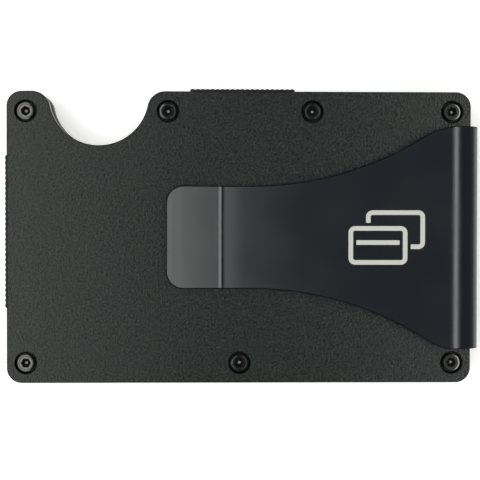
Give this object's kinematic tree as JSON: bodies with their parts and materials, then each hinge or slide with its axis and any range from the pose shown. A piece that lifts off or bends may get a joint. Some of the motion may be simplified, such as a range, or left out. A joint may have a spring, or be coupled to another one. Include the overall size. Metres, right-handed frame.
{
  "type": "minimalist wallet",
  "caption": "Slim metal card wallet: screwed plate halves joined by elastic webbing that stretches for cards, with a thumb notch and a sprung banknote clip.",
  "frame": {"origin": "centre of the rear outer plate's outside face, on which the wallet lies", "axes": "+X along the plates' length towards the clip's fold, +Y across them towards the long edge with the thumb notch, +Z out through the front plate and the clip"},
  "size_m": [0.088, 0.0548, 0.0113],
  "materials": {
    "anodised_plate": "satin",
    "inner_plate": "satin",
    "webbing": "matte",
    "screw": "satin",
    "clip": "satin"
  },
  "bodies": {
    "rear_shell": {"rear_outer_plate": "anodised_plate", "rear_inner_plate": "inner_plate", "elastic_loop": "webbing", "elastic_band": "webbing", "rear_screw_1": "screw", "rear_screw_2": "screw", "rear_screw_3": "screw", "rear_screw_4": "screw", "rear_screw_5": "screw", "rear_screw_6": "screw", "rear_screw_7": "screw"},
    "front_shell": {"front_outer_plate": "anodised_plate", "front_inner_plate": "inner_plate", "clip_root": "clip", "front_screw_1": "screw", "front_screw_2": "screw", "front_screw_3": "screw", "front_screw_4": "screw", "front_screw_5": "screw", "front_screw_6": "screw", "front_screw_7": "screw"},
    "clip": {"clip_arm": "clip"}
  },
  "joints": [
    {"name": "plates_spread", "type": "slide", "parent": "rear_shell", "child": "front_shell", "axis": [0, 0, 1], "range_m": [0, 0.0082], "stiffness_N_per_m": 800, "springref_m": -0.005, "deforming": ["elastic_loop", "elastic_band"]},
    {"name": "clip_flex", "type": "hinge", "parent": "front_shell", "child": "clip", "pos_m": [0.0443, 0, 0.00726], "axis": [0, 1, 0], "range_deg": [0, 5], "stiffness_Nm_per_rad": 5, "springref_deg": -0.57}
  ]
}
